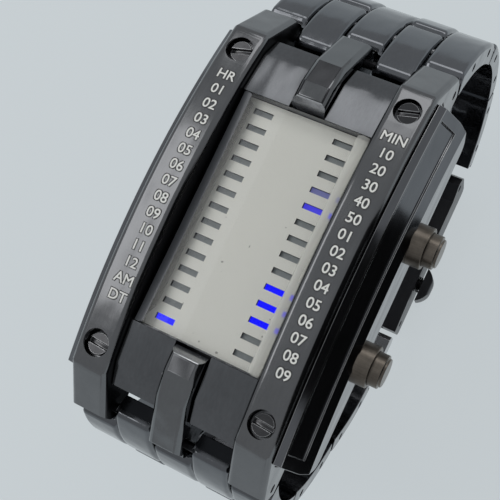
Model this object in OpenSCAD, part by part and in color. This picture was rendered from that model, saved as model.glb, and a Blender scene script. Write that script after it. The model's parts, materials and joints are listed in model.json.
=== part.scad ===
// Light-bar wristwatch on a closed steel bracelet, all sizes in millimetres.
// The watch lies face up (+Z), twelve o'clock towards +Y, push buttons towards +X.
// The origin is the middle of the clasp's flat underside, on which the closed watch stands.

/* [Case] */
// Width of the case over the two side bars
case_w = 25.8; // [25:0.1:28]
// Length of the case from bar end to bar end
case_l = 53; // [52:0.5:56]
// Depth of the case below the glass
case_d = 10.4; // [10.2:0.1:12]
// Rounding of the side bars' top edges
shoulder_r = 0.8; // [0.5:0.1:1.2]
// Rounding of the knees where bars bend down
knee_r = 3; // [2:0.5:4]
// Room at each end, from the case block to the bar ends, where the first links hang
lug_room = 4.2; // [3.9:0.1:4.4]
// Wall between the glass's long side and the inner room
ledge_w = 1.1; // [0.8:0.1:1.4]
// Wall between the glass's short side and the inner room
ledge_end = 0.8; // [0.7:0.05:0.9]
// Radius of the case's long arch, seen from the side
arch_r = 75; // [65:1:100]
// Height of the side bars above the glass at mid length
bar_rise = 2.4; // [1.8:0.1:3]
// Length of the steep end of the bars, from the knee
end_slope = 4.9; // [4.6:0.1:5.6]

/* [Side bars and centre bars] */
// Width of each side bar
rail_w = 4.7; // [4.4:0.1:5]
// Distance of a bar screw from the end of its bar
screw_end = 7.8; // [7.3:0.1:8.6]
// Diameter of a bar screw's head
screw_head_d = 2.6; // [2.4:0.1:2.8]
// Width of the bracelet's middle links
centre_w = 5.1; // [4.4:0.1:5.3]
// Width of the centre bars on the case
strip_w = 4.1; // [3.7:0.1:4.3]
// Rounding of the centre bars' long edges
strip_r = 0.9; // [0.6:0.1:1]
// Height of a centre bar's raised strip over its foot
strip_rise = 0.9; // [0.5:0.1:1.2]
// Running-free gap beside the bars
bar_gap = 0.1; // [0.05:0.01:0.2]

/* [Side covers] */
// Thickness of the side cover on the push button side
cover_t_right = 3.3; // [3:0.1:3.8]
// Thickness of the plain side cover
cover_t_left = 2.9; // [2.6:0.1:3.4]
// How much shorter than the bars a side cover is, at each end
cover_short = 4.8; // [4.2:0.1:6]
// Depth of the side covers' outer rim below the glass
rim_drop = 3.9; // [3.4:0.1:4]
// Width of the raised frame round the side cover's panel
frame_w = 0.9; // [0.6:0.1:1.3]
// Depth of the panel below its frame
panel_d = 0.25; // [0.1:0.05:0.4]

/* [Glass and display] */
// Gap between the glass and each side bar
glass_side = 0.3; // [0.2:0.05:0.5]
// Length of the glass
glass_l = 29; // [28.6:0.1:29.6]
// Thickness of the glass
glass_t = 1.8; // [1.4:0.1:2]
// Width of the glass's long bevels
bevel_w = 1.25; // [0.6:0.05:1.4]
// Depth of the glass's bevels
bevel_d = 0.7; // [0.4:0.05:1]
// Length of glass left over at each end of the rows of light bars
slot_end = 0.5; // [0.5:0.05:0.8]
// Length of a light bar's window
slot_l = 2.4; // [2:0.1:3]
// Width of a light bar's window
slot_w = 0.7; // [0.5:0.05:1]
// Distance of each row of light bars from the side of the glass
slot_side = 2.85; // [2.7:0.05:3.3]
// Light bars in a row
slot_n = 14; // [10:1:14]
// Distance of the coin cell from each side of the case
cell_side = 2.9; // [2.8:0.1:4]
// Thickness of the coin cell
cell_t = 2.5; // [1.6:0.1:2.6]

/* [Push buttons] */
// Diameter of a push button's fixed collar
collar_d = 5; // [4.6:0.1:5.4]
// Diameter of a push button's cap
cap_d = 4; // [3.6:0.1:4.2]
// How far a collar stands out of the side cover
collar_out = 1.7; // [1.5:0.1:2.2]
// How far a cap stands out of its collar
cap_out = 1.5; // [1.2:0.1:2]
// Travel of a push button
push_travel = 0.8; // [0.4:0.1:0.9]
// Distance between the two push buttons
push_pitch = 14.6; // [13:0.2:16]
// How far the pair sits towards six o'clock
push_shift = 0.7; // [0:0.1:1.2]

/* [Bracelet] */
// Distance between two bracelet pins
pin_pitch = 6.8; // [6.7:0.05:6.9]
// Diameter of the bracelet pins
pin_d = 1.1; // [0.9:0.05:1.3]
// Thickness of a link
link_t = 2.7; // [2.4:0.1:2.8]
// Radius of a link's domed outer face
dome_r = 20; // [19:1:40]
// Gap between neighbouring links across the bracelet
link_gap = 0.25; // [0.2:0.01:0.3]
// Running clearance round a pin
run_c = 0.04; // [0.02:0.01:0.08]

/* [Clasp] */
// Distance from the last link's pin to the clasp's cover, on the strap side
strap_gap = 6.3; // [6.1:0.1:6.8]
// Thickness of the clasp cover's plate
clasp_t = 1; // [0.8:0.05:1.1]
// Gap between the folding blades and the cover's side walls
blade_side = 1.4; // [1.3:0.1:2]
// Thickness of a folding blade
blade_t = 0.8; // [0.6:0.05:0.9]
// Length of a clasp button along the bracelet
button_l = 5.3; // [4.6:0.1:5.6]
// How far a clasp button stands out of the cover
button_out = 2.3; // [1.8:0.1:2.6]
// Travel of a clasp button
button_travel = 0.6; // [0.4:0.1:0.7]

/* [Hidden] */
$fn = 48;
eps = 0.01;
// Sides of the case
case_hw = case_w / 2;
case_hl = case_l / 2;
rail_in = case_hw - rail_w;
block_hw = rail_in - bar_gap;
block_hl = case_hl - lug_room;
knee_y = case_hl - end_slope;
screw_y = case_hl - screw_end;
cover_l = case_l - 2 * cover_short;
glass_w = 2 * (rail_in - glass_side);
slot_x = glass_w / 2 - slot_side;
slot_pitch = (glass_l - 2 * slot_end) / slot_n;
cell_d = case_w - 2 * cell_side;
// Pins that join the bracelet to the case
lug_y = case_hl - 1.5;
lug_z = 1.8 - case_d;
rail_end_z = -6.4;
knee_z = arch(bar_rise, knee_y);
pin_r = pin_d / 2;
// Directions of the seven link rows on each side, from the case to the clasp
upper_dir = [-36, -50, -72, -92, -111, -130, -150];
lower_dir = [-111, -96.5, -70, -54, -48, -40, -31];
// How far links reach past a pin: full ends, and the short ends at case and clasp
full_end = pin_pitch / 2 - 0.2;
case_end = 1.3;
rail_end = pin_pitch - 2;
clasp_end = 1.6;
// The outer corner of a link stands out more than the inner one
end_slant = 1;
// Columns across the bracelet: outer, second and middle
col3_x = centre_w / 2;
strip_y = glass_l / 2 + 0.4;
// Corners of a centre bar's top in the side view, from the glass outwards
strip_top = [[strip_y, strip_rise - 1.5], [strip_y + 1, strip_rise - 0.2],
    [strip_y + 3, strip_rise - 0.35], [knee_y - 0.6, strip_rise - 1.6],
    [case_hl - 0.2, strip_rise / 2 - 5.9]];
col2_in = col3_x + link_gap;
col1_in = rail_in - 0.3;
col2_out = col1_in - link_gap;
// Heights inside the case, counted down from the top of the glass
gasket_t = 0.15;
mask_t = 0.2;
ledge_z = -glass_t - mask_t - gasket_t;
board_t = 0.8;
light_t = 0.75;
board_top = -glass_t - mask_t - light_t;
board_z = board_top - board_t;
cell_z = -case_d + 0.25;
frame_bottom = cell_z + cell_t + 0.25;
shoulder_z = -4.2;
foot_z = shoulder_z;
back_t = 1.7;
glass_gap = 0.1;
channel_gap = 0.2;
// Room round a screw's head in its well
well_gap = 0.3;
// Inner room under the glass
room_hw = glass_w / 2 - ledge_w;
room_hl = glass_l / 2 - ledge_end;
// Push buttons
push_z = frame_bottom + 0.8;
push_at = [push_pitch / 2 - push_shift, -push_pitch / 2 - push_shift];
cover_x = case_hw + cover_t_right;
collar_x = cover_x + collar_out;
cap_x = collar_x + cap_out;
stem_r = 0.6;
sleeve_r = 1.5;
spring_r = 1.2;
spring_wire = 0.15;
stem_x = room_hw + 0.6;
sleeve_x = room_hw + 2.4;
clip_x = sleeve_x - 0.45;
seal_x = sleeve_x + 1.4;
spring_x = sleeve_x + 3.2;
// Bar screws and case back screws
screw_x = rail_in + rail_w / 2;
screw_z = -0.75;
shank_r = 0.7;
back_hw = case_hw - 1.1;
back_hl = room_hl + 2.7;
back_screw = [back_hw - 3.4, back_hl - 1.2];
back_arc = 130;
back_face = -case_d - gasket_t - back_t + back_arc - sqrt(back_arc * back_arc - back_screw.y * back_screw.y);
// Clasp
clasp_hw = case_hw - 0.3;
clasp_y0 = lower_pin(7).x + strap_gap;
clasp_y1 = upper_pin(7).x + 1.24;
// The flat seat of the closed watch, below and beside the middle of the glass
seat_drop = 4.55 - upper_pin(7).y;
seat_y = (clasp_y0 + clasp_y1) / 2;
wall_t = 2.2;
blade_w = 2 * (clasp_hw - wall_t - blade_side);
fold_y = clasp_y0 + 1.6;
fold_z = -seat_drop + clasp_t + 1.3;
knuckle_r = 1.1;
blade_y = clasp_y1 - 5.4;
blade_z = fold_z + 0.6;
blade1_z = fold_z - 0.4;
blade2_z = blade1_z + blade_t + 0.35;
button_y = seat_y - 4.45;
button_z = -seat_drop + clasp_t + 1.9;
button_h = 2.6;
wall_z = clasp_t + 3.9 - seat_drop;

// Height of an arch of the case at a distance along it, for a top height in the middle
function arch(top, y) = top - arch_r + sqrt(arch_r * arch_r - y * y);
// Place of a bracelet pin, as along and up, walking from the case's own pin
function pin_at(dirs, start, k) = k == 0 ? start
    : pin_at(dirs, start, k - 1) + pin_pitch * [cos(dirs[k - 1]), sin(dirs[k - 1])];
function upper_pin(k) = pin_at(upper_dir, [lug_y, lug_z], k);
function lower_pin(k) = pin_at(lower_dir, [-lug_y, lug_z], k);

// Everything is drawn from the middle of the glass's top and then stood on the seat
module stand() translate([0, -seat_y, seat_drop]) children();
// A side view drawn as along and up, drawn out across the watch
module across(x0, x1) translate([x0, 0, 0]) rotate([90, 0, 90]) linear_extrude(x1 - x0) children();
// A front view drawn as across and up, drawn out along the watch
module along(y0, y1) translate([0, y1, 0]) rotate([90, 0, 0]) linear_extrude(y1 - y0) children();
module rod(r, x0, x1) translate([x0, 0, 0]) rotate([0, 90, 0]) cylinder(r = r, h = x1 - x0);

// Disc that carries an arch over the whole length
module arch_disc(top) translate([0, top - arch_r]) circle(r = arch_r, $fn = 360);
// A front view drawn as across and up, carried along the arch of the bars' tops
module arched() translate([0, 0, bar_rise - arch_r]) rotate([90, 0, 90]) rotate([0, 0, 60])
    rotate_extrude(angle = 60, $fn = 360) translate([arch_r - bar_rise, 0]) mirror([1, -1]) children();

// Side view of a side bar: arch, knees, sloping ends and eyes for the pins
module rail_side() {
    // The end slope runs on past the knee, so that it cuts the arch there
    steep = (knee_z - rail_end_z) / (case_hl - knee_y);
    difference() {
        intersection() {
            // The slopes run on downwards, so that only the knees are rounded
            offset(r = knee_r) offset(delta = -knee_r) intersection() {
                arch_disc(bar_rise);
                polygon([[-case_hl - 9, rail_end_z - 9 * steep], [-knee_y + 3, knee_z + 3 * steep],
                    [knee_y - 3, knee_z + 3 * steep], [case_hl + 9, rail_end_z - 9 * steep]]);
            }
            polygon([[-lug_y - 0.6, lug_z - 1.7], [-case_hl, lug_z], [-case_hl, 9], [case_hl, 9],
                [case_hl, lug_z], [lug_y + 0.6, lug_z - 1.7]]);
        }
        translate([-block_hl - bar_gap, -40]) square([2 * (block_hl + bar_gap), 40 + shoulder_z]);
        for (s = [-1, 1]) translate([s * lug_y, lug_z]) circle(r = pin_r);
    }
}

module screw_wells(r) for (s = [-1, 1]) translate([screw_x, s * screw_y, -20]) cylinder(r = r, h = 40);

// Front view of a side bar with its rounded top edges, down from a height, a little wider
module shoulders(top, deep, wide) offset(r = shoulder_r, $fn = 24) offset(delta = -shoulder_r)
    translate([rail_in - wide, top - deep]) square([rail_w + 2 * wide, deep]);
module end_shoulders() translate([0, knee_y, knee_z])
    rotate([-atan2(knee_z - rail_end_z, case_hl - knee_y), 0, 0]) along(-90, 90) shoulders(0, 70, 0.02);

module rail() difference() {
    intersection() {
        across(rail_in - 1, case_hw + 1) rail_side();
        arched() shoulders(bar_rise, 20, 0);
        end_shoulders();
        mirror([0, 1, 0]) end_shoulders();
    }
    screw_wells(shank_r);
    for (s = [-1, 1]) translate([screw_x, s * screw_y, screw_z - 1.1])
        cylinder(r = screw_head_d / 2 + well_gap, h = 10);
}

module rail_right() stand() color([0.33, 0.34, 0.35]) rail();
module rail_left() stand() color([0.33, 0.34, 0.35]) mirror([1, 0, 0]) rail();

module slotted_screw(head_r, head_h, shank, slot) difference() {
    union() {
        translate([0, 0, -head_h]) cylinder(r = head_r, h = head_h);
        translate([0, 0, -shank]) cylinder(r = shank_r, h = shank);
    }
    translate([-head_r - 1, -slot / 2, -head_h / 2]) cube([2 * head_r + 2, slot, head_h]);
}

module rail_screws() stand() color([0.45, 0.45, 0.46]) for (x = [-1, 1], y = [-1, 1])
    translate([x * screw_x, y * screw_y, screw_z])
        rotate([0, 0, 5 + 9 * y]) slotted_screw(screw_head_d / 2, 1.1, 5.6, 0.55);

// Side view of the case block's top: ledge for the glass and the sloping end plates
module block_side() {
    difference() {
        translate([-block_hl, -case_d]) square([2 * block_hl, case_d + 1]);
        // End plates fall from the glass to a knee and then to the block's end
        for (s = [-1, 1]) polygon([[s * (glass_l / 2), -0.45], [s * (knee_y - 2), -1.7],
            [s * block_hl, -3.7], [s * 40, -3.7], [s * 40, 3], [s * (glass_l / 2), 3]]);
        translate([-glass_l / 2 - glass_gap, ledge_z]) square([glass_l + 2 * glass_gap, 10]);
    }
}

module block_solid() {
    // Middle part between the bars, with the channels for the centre bars
    difference() {
        across(-block_hw, block_hw) block_side();
        for (s = [0, 1]) mirror([0, s, 0])
            translate([-strip_w / 2 - channel_gap, glass_l / 2 + glass_gap, foot_z])
                cube([strip_w + 2 * channel_gap, block_hl, 8]);
    }
    // Lower part under the side bars
    difference() {
        translate([-case_hw + 0.1, -block_hl, -case_d])
            cube([case_w - 0.2, 2 * block_hl, case_d + shoulder_z]);
        for (s = [-1, 1]) translate([0, s * (block_hl + 1.2), -case_d - 1.2])
            rotate([45, 0, 0]) cube([60, 2.6, 2.6], center = true);
    }
}

module block_room() {
    translate([-room_hw, -room_hl, frame_bottom - eps]) cube([2 * room_hw, 2 * room_hl, 20]);
    translate([0, 0, -20]) cylinder(r = cell_d / 2 + 0.3, h = 20 + frame_bottom, $fn = 96);
    translate([-room_hw, -room_hl, -20]) cube([2 * room_hw, 2 * room_hl, 20 + frame_bottom]);
}

module case_block() stand() color([0.2, 0.21, 0.22]) difference() {
    block_solid();
    block_room();
    for (y = push_at) translate([0, y, push_z]) rod(sleeve_r, room_hw - 1, case_hw + 1);
    for (x = [-1, 1], y = [-1, 1]) {
        translate([x * screw_x, y * screw_y, shoulder_z - 2.4]) cylinder(r = shank_r, h = 4);
        translate([x * back_screw.x, y * back_screw.y, -case_d - 1]) cylinder(r = 0.5, h = 3.4);
    }
}

// Side view of a centre bar's foot: low plate by the glass, knee and pin eye
module centre_side() {
    foot_y = glass_l / 2 + 1.4;
    difference() {
        polygon([[foot_y, foot_z], [foot_y, -0.4], [foot_y + 0.4, -0.2], [foot_y + 2.7, -0.35],
            [knee_y - 1.2, -1.6], [knee_y, -2.6], [case_hl - 0.6, -7.2], [case_hl, -8],
            [case_hl, lug_z], [lug_y + 0.9, lug_z - 1.6], [block_hl + 0.25, lug_z - 1.6],
            [block_hl + 0.25, foot_z]]);
        translate([lug_y, lug_z]) circle(r = pin_r);
    }
}

// Side view of the strip that stands on the foot and follows it over the knee
module strip_side() offset(r = 0.4, $fn = 24) offset(delta = -0.4)
    polygon(concat([[strip_y, -2.4]], strip_top, [[case_hl - 0.2, lug_z + 1.1],
        [block_hl + 0.5, lug_z + 1.1], [block_hl + 0.5, -4], [knee_y - 1.2, -3.4]]));
// Rounds the strip's long edges along its top from one corner to the next
module strip_edges(from, to) translate([0, from.x, from.y])
    rotate([atan2(to.y - from.y, to.x - from.x), 0, 0]) along(-90, 90)
        offset(r = strip_r, $fn = 24) offset(delta = -strip_r)
            translate([-strip_w / 2 - 0.02, 0.02 - 70]) square([strip_w + 0.04, 70]);

module centre_bar() {
    intersection() {
        across(-strip_w / 2, strip_w / 2) strip_side();
        strip_edges(strip_top[1], strip_top[2]);
        strip_edges(strip_top[2], strip_top[3]);
        strip_edges(strip_top[3], strip_top[4]);
    }
    across(-strip_w / 2, strip_w / 2) centre_side();
}

module centre_bar_top() stand() color([0.36, 0.37, 0.38]) centre_bar();
module centre_bar_bottom() stand() color([0.36, 0.37, 0.38]) mirror([0, 1, 0]) centre_bar();

// Front view of a side cover: inner strip, crest, leaning face, rim and upright side
function cover_crest() = [case_hw + 1, bar_rise - 1.8];
function cover_rim(t) = [case_hw + t - 0.35, 0.6 - rim_drop];
module cover_front(t) polygon([[case_hw, -case_d], [case_hw + t, -case_d], [case_hw + t, -rim_drop],
    cover_rim(t), cover_crest(), [case_hw + 0.15, bar_rise - 1.3], [case_hw, bar_rise - 1.5]]);
// The panel lies a little below its frame on the leaning face
module panel_front(t) {
    run = cover_rim(t) - cover_crest();
    lean = run / norm(run);
    up = [-lean.y, lean.x];
    from = cover_crest() + 0.3 * lean;
    to = cover_rim(t) - frame_w * lean;
    polygon([from - panel_d * up, to - panel_d * up, to + up, from + up]);
}
// Side view of a side cover, smaller by a border
module cover_side(b) offset(r = 1.5) offset(delta = -1.5 - b)
    polygon([[-cover_l / 2, 9], [cover_l / 2, 9], [cover_l / 2, -6], [cover_l / 2 - 1.2, -case_d + 0.4],
        [-cover_l / 2 + 1.2, -case_d + 0.4], [-cover_l / 2, -6]]);

module side_cover(t) translate([0, -push_shift / 2, 0]) difference() {
    intersection() {
        arched() cover_front(t);
        across(case_hw - 1, case_hw + t + 1) cover_side(0);
    }
    intersection() {
        arched() panel_front(t);
        across(case_hw - 1, case_hw + t + 3) cover_side(frame_w + 0.7);
    }
}

module side_cover_right() stand() color([0.06, 0.06, 0.07]) difference() {
    side_cover(cover_t_right);
    for (y = push_at) translate([0, y, push_z]) {
        rod(sleeve_r, case_hw - 1, cover_x + 2);
        rod(collar_d / 2, cover_x - 0.2, cover_x + 2);
    }
}
module side_cover_left() stand() color([0.12, 0.12, 0.13]) mirror([1, 0, 0]) side_cover(cover_t_left);

// Glass: a flat top with long bevels, sitting on its gasket
module glass() stand() color([0.8, 0.78, 0.72]) intersection() {
    along(-glass_l / 2, glass_l / 2) polygon([[-glass_w / 2, -glass_t], [glass_w / 2, -glass_t],
        [glass_w / 2, -bevel_d], [glass_w / 2 - bevel_w, 0], [-glass_w / 2 + bevel_w, 0],
        [-glass_w / 2, -bevel_d]]);
    across(-glass_w / 2, glass_w / 2) polygon([[-glass_l / 2, -glass_t], [glass_l / 2, -glass_t],
        [glass_l / 2, -0.3], [glass_l / 2 - 0.3, 0], [-glass_l / 2 + 0.3, 0], [-glass_l / 2, -0.3]]);
}

module plate(hw, hl, z0, z1) translate([-hw, -hl, z0]) cube([2 * hw, 2 * hl, z1 - z0]);

module glass_gasket() stand() color([0.05, 0.05, 0.05]) difference() {
    plate(glass_w / 2 - 0.1, glass_l / 2 - 0.1, ledge_z, ledge_z + gasket_t);
    plate(room_hw + 0.1, room_hl + 0.1, ledge_z - 1, 1);
}

function slot_ys() = [for (i = [0 : slot_n - 1]) (i - (slot_n - 1) / 2) * slot_pitch];

module at_slots() for (s = [-1, 1], y = slot_ys()) translate([s * slot_x, y, 0]) children();

// Printed mask, bonded to the underside of the glass
module window_mask() stand() color([0.75, 0.74, 0.7]) difference() {
    plate(glass_w / 2 - 0.1, glass_l / 2 - 0.1, -glass_t - mask_t, -glass_t);
    at_slots() translate([-slot_l / 2, -slot_w / 2, ledge_z - 1]) cube([slot_l, slot_w, 2]);
}

module light_emitters() stand() color([0.5, 0.6, 1]) at_slots()
    translate([-slot_l / 2 + 0.2, -slot_w / 2, board_top]) cube([slot_l - 0.4, slot_w, light_t]);

module circuit_board() stand() color([0.05, 0.25, 0.12]) plate(room_hw - 0.2, room_hl - 0.2, board_z, board_top);

module board_parts() stand() {
    chip = room_hw - 3.8;
    color([0.05, 0.05, 0.05]) translate([-chip, 0.11 * room_hl, board_z - 1.1]) cube([2 * chip, 0.44 * room_hl, 1.1]);
    color([0.7, 0.7, 0.7]) translate([0, -0.25 * room_hl, board_z - 0.9]) rod(0.9, -chip + 0.2, chip - 0.2);
    color([0.4, 0.3, 0.2]) for (s = [0, 1]) mirror([s, 0, 0])
        translate([chip - 0.8, -0.63 * room_hl, board_z - 0.7]) cube([1.4, 0.06 * room_hl, 0.7]);
}

module switch_box(y, grow) translate([room_hw - 2.6 - grow, y - 1.6 - grow, frame_bottom - grow])
    cube([room_hw, 3.2 + 2 * grow, 10]);

module module_frame() stand() color([0.85, 0.85, 0.82]) difference() {
    plate(room_hw - 0.15, room_hl - 0.15, frame_bottom + 0.1, board_z);
    plate(room_hw - 3, room_hl - 3, frame_bottom + 1.1, 5);
    for (y = push_at) switch_box(y, 0.2);
    translate([0, 0, -20]) cylinder(r = 2.2, h = 20);
}

module switch_blades() stand() color([0.75, 0.6, 0.3]) for (y = push_at) {
    translate([room_hw - 2.2, y - 1.2, board_z - 0.3]) cube([1.9, 2.4, 0.3]);
    translate([room_hw - 0.6, y - 1.2, frame_bottom + 0.3]) cube([0.3, 2.4, board_z - frame_bottom - 0.3]);
}

module coin_cell() stand() color([0.75, 0.75, 0.76]) {
    translate([0, 0, cell_z]) cylinder(r = cell_d / 2, h = cell_t - 0.4, $fn = 96);
    translate([0, 0, cell_z + cell_t - 0.4]) cylinder(r = cell_d / 2 - 1.4, h = 0.4, $fn = 96);
}

// Contact spring between cell and board, through the hole in the module frame
module cell_contact() stand() color([0.75, 0.6, 0.3]) {
    gap = board_z - cell_z - cell_t;
    translate([0, 0, cell_z + cell_t]) cylinder(r = 1.2, h = 0.1 * gap);
    translate([0, 0, cell_z + cell_t + 0.1 * gap]) cylinder(r = 0.9, h = 0.9 * gap);
}

// Case back, a shallow arch across the wrist
module case_back() stand() color([0.3, 0.3, 0.32]) difference() {
    intersection() {
        translate([-back_hw, -back_hl, -case_d - gasket_t - 3]) cube([2 * back_hw, 2 * back_hl, 3]);
        across(-back_hw, back_hw) difference() {
            translate([-back_hl, -case_d - 5]) square([2 * back_hl, 5]);
            translate([0, -case_d - gasket_t - back_t - back_arc]) circle(r = back_arc, $fn = 360);
        }
    }
    for (x = [-1, 1], y = [-1, 1]) translate([x * back_screw.x, y * back_screw.y, 0]) {
        translate([0, 0, -case_d - 6]) cylinder(r = 0.5, h = 6);
        translate([0, 0, back_face - 3]) cylinder(r = 1, h = 3.5);
    }
}

module back_gasket() stand() color([0.05, 0.05, 0.05]) difference() {
    plate(back_hw - 0.2, back_hl - 0.2, -case_d - gasket_t, -case_d);
    translate([0, 0, -20]) cylinder(r = cell_d / 2 + 0.4, h = 20, $fn = 96);
    plate(room_hw + 0.1, room_hl + 0.1, -20, 0);
    for (x = [-1, 1], y = [-1, 1]) translate([x * back_screw.x, y * back_screw.y, -20]) cylinder(r = 0.6, h = 20);
}

module back_screws() stand() color([0.5, 0.5, 0.5]) for (x = [-1, 1], y = [-1, 1])
    translate([x * back_screw.x, y * back_screw.y, 0]) difference() {
        union() {
            translate([0, 0, back_face + 0.05]) cylinder(r = 0.9, h = 0.45);
            translate([0, 0, back_face + 0.5]) cylinder(r = 0.5, h = 1.8 - case_d - back_face);
        }
        translate([-2, -0.15, back_face - 0.2]) cube([4, 0.3, 0.4]);
    }

// Push buttons: fixed tube with collar, sprung cap on a stem, seal and clip
module tube() difference() {
    union() {
        rod(sleeve_r, sleeve_x, cover_x + eps);
        rod(collar_d / 2, cover_x - 0.2, collar_x);
    }
    rod(stem_r + 0.05, sleeve_x - 1, collar_x + 1);
    rod(spring_r + 0.05, spring_x, collar_x + 1);
    rod(cap_d / 2 + run_c, collar_x - 2, collar_x + 1);
    rod(spring_r, seal_x, seal_x + 0.9);
}

module pusher_tubes() stand() color([0.36, 0.32, 0.29]) for (y = push_at) translate([0, y, push_z]) tube();

module pusher_seals() stand() color([0.05, 0.05, 0.05]) for (y = push_at)
    translate([seal_x + 0.45, y, push_z]) rotate([0, 90, 0])
        rotate_extrude() translate([stem_r + 0.3, 0]) circle(r = 0.27, $fn = 24);

module pusher(y) stand() color([0.4, 0.36, 0.33]) translate([0, y, push_z]) difference() {
    union() {
        rod(stem_r, stem_x, collar_x);
        rod(cap_d / 2, collar_x - 2 + push_travel + 0.15, cap_x - 0.3);
        rod(cap_d / 2 - 0.3, cap_x - 0.31, cap_x);
    }
    translate([clip_x, 0, 0]) difference() {
        rod(2, 0, 0.4);
        rod(0.45, -1, 1);
    }
}

module pusher_clip(y) stand() color([0.6, 0.6, 0.6]) translate([0, y, push_z]) difference() {
    rod(spring_r, clip_x + 0.05, clip_x + 0.35);
    rod(0.45, clip_x - 1, clip_x + 1);
    translate([clip_x - 1, -0.35, 0]) cube([2, 0.7, 3]);
}

module pusher_upper() pusher(push_at[0]);
module pusher_lower() pusher(push_at[1]);
module pusher_clip_upper() pusher_clip(push_at[0]);
module pusher_clip_lower() pusher_clip(push_at[1]);

// Coil spring along X: one unbroken wire, rings of six points
function coil_ring(r, w, a, x) = [for (j = [0 : 5])
    [x + w * sin(60 * j), (r + w * cos(60 * j)) * cos(a), (r + w * cos(60 * j)) * sin(a)]];
module coil(r, w, x0, x1, turns) {
    steps = turns * 16;
    points = [for (i = [0 : steps]) each coil_ring(r, w, i * 22.5, x0 + (x1 - x0) * i / steps)];
    sides = [for (i = [0 : steps - 1], j = [0 : 5]) let (a = 6 * i + j, b = 6 * i + (j + 1) % 6)
        each [[a, a + 6, b], [b, a + 6, b + 6]]];
    ends = [[for (j = [0 : 5]) j], [for (j = [5 : -1 : 0]) 6 * steps + j]];
    polyhedron(points, concat(sides, ends));
}

module pusher_spring(y) stand() color([0.7, 0.7, 0.72]) translate([0, y, push_z])
    coil(spring_r - 0.2, spring_wire, spring_x + 0.16, collar_x - 2 + push_travel - 0.01, 5);
module pusher_spring_upper() pusher_spring(push_at[0]);
module pusher_spring_lower() pusher_spring(push_at[1]);

// Pins in the case's own lugs, which carry the first row of links
module lug_pins() stand() color([0.6, 0.6, 0.6]) for (s = [-1, 1])
    translate([0, s * lug_y, lug_z]) rod(pin_r, -case_hw + 0.2, case_hw - 0.2);

// Side view of a link from pin to pin, domed outside, with its reach past each pin
module link_side(e0, e1, bore) {
    mid = (pin_pitch + e1 - e0) / 2;
    out_r = dome_r;
    in_r = dome_r - link_t;
    out_z = 1.7;
    difference() {
        intersection() {
            translate([mid, out_z - out_r]) circle(r = out_r, $fn = 240);
            polygon([[-e0, 4], [pin_pitch + e1, 4], [pin_pitch + e1, 0.6],
                [pin_pitch + e1 - end_slant, -4], [-e0 + end_slant, -4], [-e0, 0.6]]);
        }
        translate([mid, out_z - out_r]) circle(r = in_r, $fn = 240);
        for (y = [0, pin_pitch]) translate([y, 0]) circle(r = bore);
    }
}

// A row stands at its first pin, turned along its direction, domed face outwards
module at_row(lower, k) {
    p = lower ? lower_pin(k - 1) : upper_pin(k - 1);
    a = lower ? lower_dir[k - 1] : upper_dir[k - 1];
    stand() translate([0, p.x, p.y]) rotate([a, 0, 0]) mirror([0, 0, lower ? 1 : 0]) children();
}

// Odd rows hold columns two and four, even rows hold columns one, three and five
module row(lower, k) at_row(lower, k) {
    e0 = k == 1 ? case_end : k == 2 ? rail_end : full_end;
    e1 = k == 7 ? clasp_end : full_end;
    if (k % 2 == 1) for (s = [0, 1]) mirror([s, 0, 0])
        color([0.3, 0.31, 0.33]) across(col2_in, col2_out) link_side(e0, e1, pin_r + run_c);
    else color([0.27, 0.28, 0.3]) {
        across(-col3_x, col3_x) link_side(e0, e1, pin_r);
        for (s = [0, 1]) mirror([s, 0, 0]) across(col1_in, case_hw) link_side(e0, e1, pin_r);
    }
}

module row_pins(lower, k) at_row(lower, k) color([0.6, 0.6, 0.6])
    for (y = [0, pin_pitch]) translate([0, y, 0]) rod(pin_r, -case_hw + 0.3, case_hw - 0.3);

module upper_row_1() row(false, 1);
module upper_row_2() row(false, 2);
module upper_row_3() row(false, 3);
module upper_row_4() row(false, 4);
module upper_row_5() row(false, 5);
module upper_row_6() row(false, 6);
module upper_row_7() row(false, 7);
module lower_row_1() row(true, 1);
module lower_row_2() row(true, 2);
module lower_row_3() row(true, 3);
module lower_row_4() row(true, 4);
module lower_row_5() row(true, 5);
module lower_row_6() row(true, 6);
module lower_row_7() row(true, 7);
module upper_pins_2() row_pins(false, 2);
module upper_pins_4() row_pins(false, 4);
module upper_pins_6() row_pins(false, 6);
module lower_pins_2() row_pins(true, 2);
module lower_pins_4() row_pins(true, 4);
module lower_pins_6() row_pins(true, 6);

// Clasp cover: a flat plate with two side walls that carry both end pins
module clasp_wall_side() {
    p = upper_pin(7);
    difference() {
        union() {
            polygon([[clasp_y0 + 0.5, -seat_drop], [clasp_y1 - 0.6, -seat_drop],
                [clasp_y1, -seat_drop + 0.6], [p.x + 1.7, p.y], [p.x + 1.2, p.y + 1.2],
                [p.x, p.y + 1.7], [p.x - 2.4, wall_z], [clasp_y0 + 5, wall_z],
                [clasp_y0, fold_z + 1.5], [clasp_y0, -seat_drop + 0.5]]);
        }
        translate(p) circle(r = pin_r);
        translate([fold_y, fold_z]) circle(r = 0.5);
    }
}

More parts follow.
